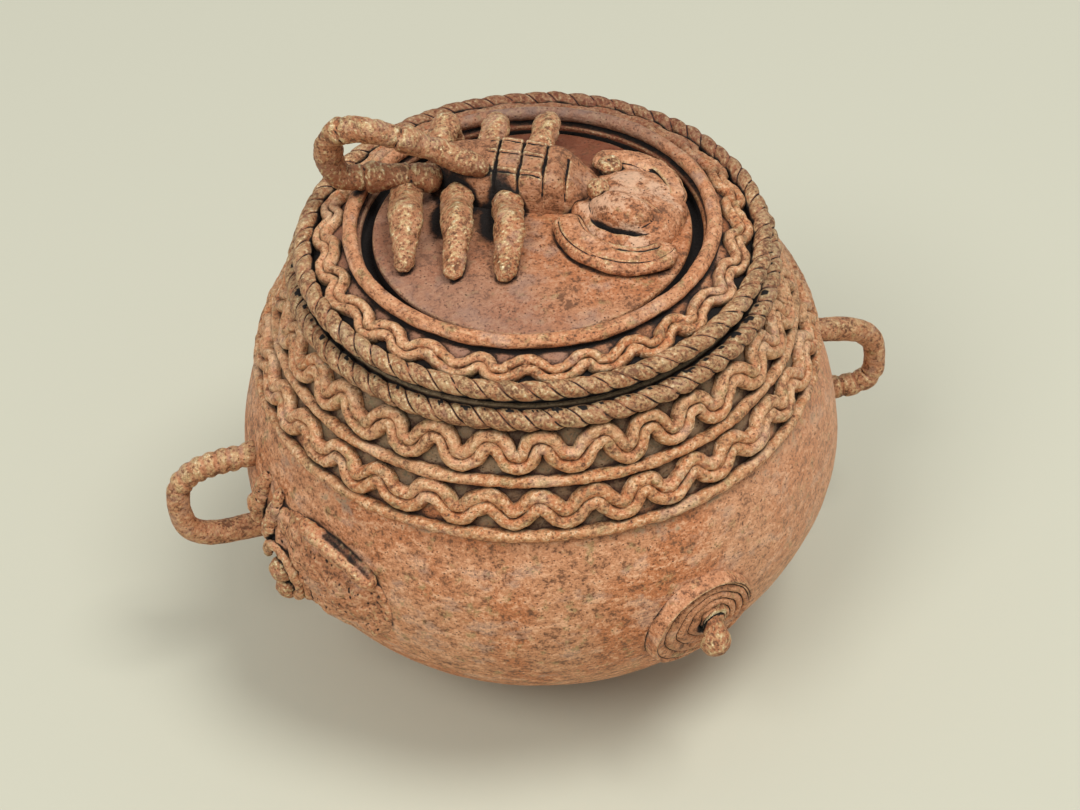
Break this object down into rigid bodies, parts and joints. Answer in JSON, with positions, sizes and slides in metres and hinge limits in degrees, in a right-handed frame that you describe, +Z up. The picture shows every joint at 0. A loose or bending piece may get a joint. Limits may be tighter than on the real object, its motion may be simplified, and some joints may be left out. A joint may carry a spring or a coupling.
{
  "type": "lidded box",
  "caption": "Small round-bellied cast metal box with a lift-off lid, two loop handles, rope and wave bands, and a scorpion on the lid whose curled tail is the grip.",
  "frame": {"origin": "centre of the flat base, on the surface that the box stands on", "axes": "+Z up; +X through the right-hand loop handle, along the line that joins the two handles; -Y is the front with the coiled boss"},
  "size_m": [0.1654, 0.1362, 0.1253],
  "materials": {
    "copper_patina": "matte reddish copper-brown patina, fine dark pitting",
    "worn_brass": "the same alloy worn brassy on raised parts",
    "dark_patina": "the same alloy, darker and rougher where it is not handled"
  },
  "bodies": {
    "pot": {"pot_shell": "copper_patina", "rim_rope": "worn_brass", "lower_thread": "worn_brass", "lower_wave_band": "copper_patina", "middle_thread": "worn_brass", "upper_wave_band": "copper_patina", "handle_left": "worn_brass", "handle_right": "worn_brass", "boss_coil": "copper_patina", "boss_nub": "worn_brass", "relief_plaque": "dark_patina", "relief_ridge": "worn_brass", "relief_coil": "dark_patina", "relief_nub_upper": "worn_brass", "relief_nub_lower": "worn_brass", "relief_prong_long": "dark_patina", "relief_prong_short": "dark_patina"},
    "lid": {"lid_plate": "copper_patina", "lid_rope": "worn_brass", "lid_wave_band": "copper_patina", "medallion_ring": "copper_patina", "scorpion_body": "copper_patina", "scorpion_tail": "worn_brass", "scorpion_head": "copper_patina", "scorpion_eye_near": "worn_brass", "scorpion_eye_far": "worn_brass", "scorpion_claw_near": "copper_patina", "scorpion_claw_far": "copper_patina", "scorpion_leg_near_rear": "worn_brass", "scorpion_leg_near_middle": "worn_brass", "scorpion_leg_near_front": "worn_brass", "scorpion_leg_far_rear": "worn_brass", "scorpion_leg_far_middle": "worn_brass", "scorpion_leg_far_front": "worn_brass"}
  },
  "joints": [
    {"name": "lid_lift", "type": "slide", "parent": "pot", "child": "lid", "axis": [0, 0, 1], "range_m": [0, 0.05]}
  ]
}
